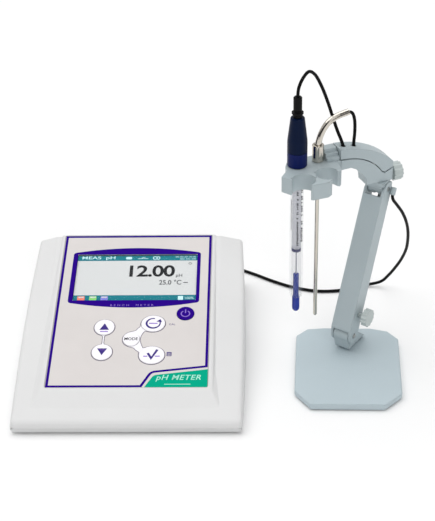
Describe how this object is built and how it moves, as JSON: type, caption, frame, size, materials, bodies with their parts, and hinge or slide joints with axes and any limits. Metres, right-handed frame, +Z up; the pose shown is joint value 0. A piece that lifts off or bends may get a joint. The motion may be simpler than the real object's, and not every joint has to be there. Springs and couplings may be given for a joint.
{
  "type": "ph meter",
  "caption": "Bench meter with a sloping keypad and colour display, beside a weighted swing-arm stand whose clip head holds a pH electrode and a bent temperature probe on black leads.",
  "frame": {"origin": "centre of the overall footprint, without the free leads, on the bench surface", "axes": "+X to the user's right, from the meter to the stand; +Y away from the user; +Z up"},
  "size_m": [0.3422, 0.2944, 0.263],
  "materials": {
    "case_plastic": "light grey ABS, fine texture, satin",
    "case_lower": "light grey ABS, fine texture",
    "panel_film": "printed polyester film, satin",
    "key_film": "white domed key, semi gloss",
    "window": "clear acrylic window, polished",
    "screen": "colour display module",
    "board": "green circuit board",
    "rubber": "black rubber, matte",
    "steel": "stainless steel, fine brushed",
    "polished_steel": "polished stainless steel",
    "nickel": "nickel plate, bright",
    "black_plastic": "black plastic, satin",
    "stand_plastic": "blue-grey moulded plastic, satin",
    "stand_paint": "blue-grey powder coat on steel",
    "cap_plastic": "dark navy moulded plastic",
    "cap_band": "violet-navy moulded plastic",
    "electrode_tube": "clear epoxy tube",
    "blue_glass": "royal blue glass membrane",
    "lead": "black PVC sheath, satin"
  },
  "bodies": {
    "meter_and_base": {"top_case": "case_plastic", "bottom_case": "case_lower", "main_board": "board", "key_board": "board", "display_module": "screen", "panel_overlay": "panel_film", "display_window": "window", "meter_foot_1": "rubber", "meter_foot_2": "rubber", "meter_foot_3": "rubber", "meter_foot_4": "rubber", "case_screw_1": "steel", "case_screw_2": "steel", "case_screw_3": "steel", "case_screw_4": "steel", "bnc_socket": "nickel", "temp_socket": "nickel", "dc_jack": "black_plastic", "usb_port": "steel", "base_plate": "stand_paint", "base_pad": "rubber", "foot_bracket": "stand_plastic", "lower_pivot_pin": "steel", "lower_link_pin": "steel", "main_lead": "lead", "main_lead_coil": "lead", "lead_splitter": "black_plastic", "bnc_lead_tail": "lead", "temp_lead_tail": "lead", "bnc_plug": "nickel", "temp_plug": "black_plastic"},
    "key_up_body": {"key_up": "key_film"},
    "key_down_body": {"key_down": "key_film"},
    "key_range_body": {"key_range": "key_film"},
    "key_mode_body": {"key_mode": "key_film"},
    "key_enter_body": {"key_enter": "key_film"},
    "key_power_body": {"key_power": "key_film"},
    "arm": {"arm_channel": "stand_plastic", "balance_spring": "steel", "upper_pivot_pin": "steel", "lead_gland": "stand_plastic"},
    "link": {"level_link": "steel"},
    "elbow": {"elbow_block": "stand_plastic", "upper_link_pin": "steel"},
    "neck": {"neck_body": "stand_plastic", "neck_cover": "stand_plastic", "holder_head": "stand_plastic", "electrode_lead": "lead", "probe_lead": "lead"},
    "lower_knob_body": {"lower_knob": "stand_plastic"},
    "upper_knob_body": {"upper_knob": "stand_plastic"},
    "electrode": {"electrode_body": "electrode_tube", "electrode_bulb": "blue_glass", "electrode_seal": "blue_glass", "cap_band": "cap_band", "electrode_cap": "cap_plastic", "electrode_strain_relief": "black_plastic"},
    "probe": {"probe_shaft": "polished_steel", "probe_ferrule": "polished_steel", "probe_handle": "polished_steel"}
  },
  "joints": [
    {"name": "up_press", "type": "slide", "parent": "meter_and_base", "child": "key_up_body", "axis": [0, 0.1719, -0.9851], "range_m": [0, 0.0004], "stiffness_N_per_m": 400, "springref_m": -0.0006},
    {"name": "down_press", "type": "slide", "parent": "meter_and_base", "child": "key_down_body", "axis": [0, 0.1719, -0.9851], "range_m": [0, 0.0004], "stiffness_N_per_m": 400, "springref_m": -0.0006},
    {"name": "range_press", "type": "slide", "parent": "meter_and_base", "child": "key_range_body", "axis": [0, 0.1719, -0.9851], "range_m": [0, 0.0004], "stiffness_N_per_m": 400, "springref_m": -0.0006},
    {"name": "mode_press", "type": "slide", "parent": "meter_and_base", "child": "key_mode_body", "axis": [0, 0.1719, -0.9851], "range_m": [0, 0.0004], "stiffness_N_per_m": 400, "springref_m": -0.0006},
    {"name": "enter_press", "type": "slide", "parent": "meter_and_base", "child": "key_enter_body", "axis": [0, 0.1719, -0.9851], "range_m": [0, 0.0004], "stiffness_N_per_m": 400, "springref_m": -0.0006},
    {"name": "power_press", "type": "slide", "parent": "meter_and_base", "child": "key_power_body", "axis": [0, 0.1719, -0.9851], "range_m": [0, 0.0004], "stiffness_N_per_m": 400, "springref_m": -0.0006},
    {"name": "arm_tilt", "type": "hinge", "parent": "meter_and_base", "child": "arm", "pos_m": [0.11615, -0.00695, 0.0225], "axis": [0.8387, -0.5446, 0], "range_deg": [-13, 20], "deforming": ["main_lead"]},
    {"name": "link_tilt", "type": "hinge", "parent": "meter_and_base", "child": "link", "pos_m": [0.12051, -0.00024, 0.0225], "axis": [0.8387, -0.5446, 0], "range_deg": [-13, 20]},
    {"name": "elbow_level", "type": "hinge", "parent": "arm", "child": "elbow", "pos_m": [0.14438, 0.03652, 0.14401], "axis": [0.8387, -0.5446, 0], "range_deg": [-20, 13]},
    {"name": "neck_swivel", "type": "hinge", "parent": "elbow", "child": "neck", "pos_m": [0.14438, 0.03652, 0.14401], "axis": [0, 0, 1], "range_deg": [-60, 12]},
    {"name": "lower_knob_turn", "type": "hinge", "parent": "arm", "child": "lower_knob_body", "pos_m": [0.13298, -0.00821, 0.04024], "axis": [0.8387, -0.5446, 0], "continuous": true},
    {"name": "upper_knob_turn", "type": "hinge", "parent": "neck", "child": "upper_knob_body", "pos_m": [0.15479, 0.04115, 0.15601], "axis": [0.9135, 0.4067, 0], "continuous": true},
    {"name": "electrode_lift", "type": "slide", "parent": "neck", "child": "electrode", "axis": [0, 0, 1], "range_m": [0, 0.06], "deforming": ["electrode_lead"]},
    {"name": "probe_lift", "type": "slide", "parent": "neck", "child": "probe", "axis": [0, 0, 1], "range_m": [0, 0.06], "deforming": ["probe_lead"]}
  ],
  "couplings": [
    {"joint": "link_tilt", "follows": "arm_tilt", "ratio": 1},
    {"joint": "elbow_level", "follows": "arm_tilt", "ratio": -1}
  ]
}
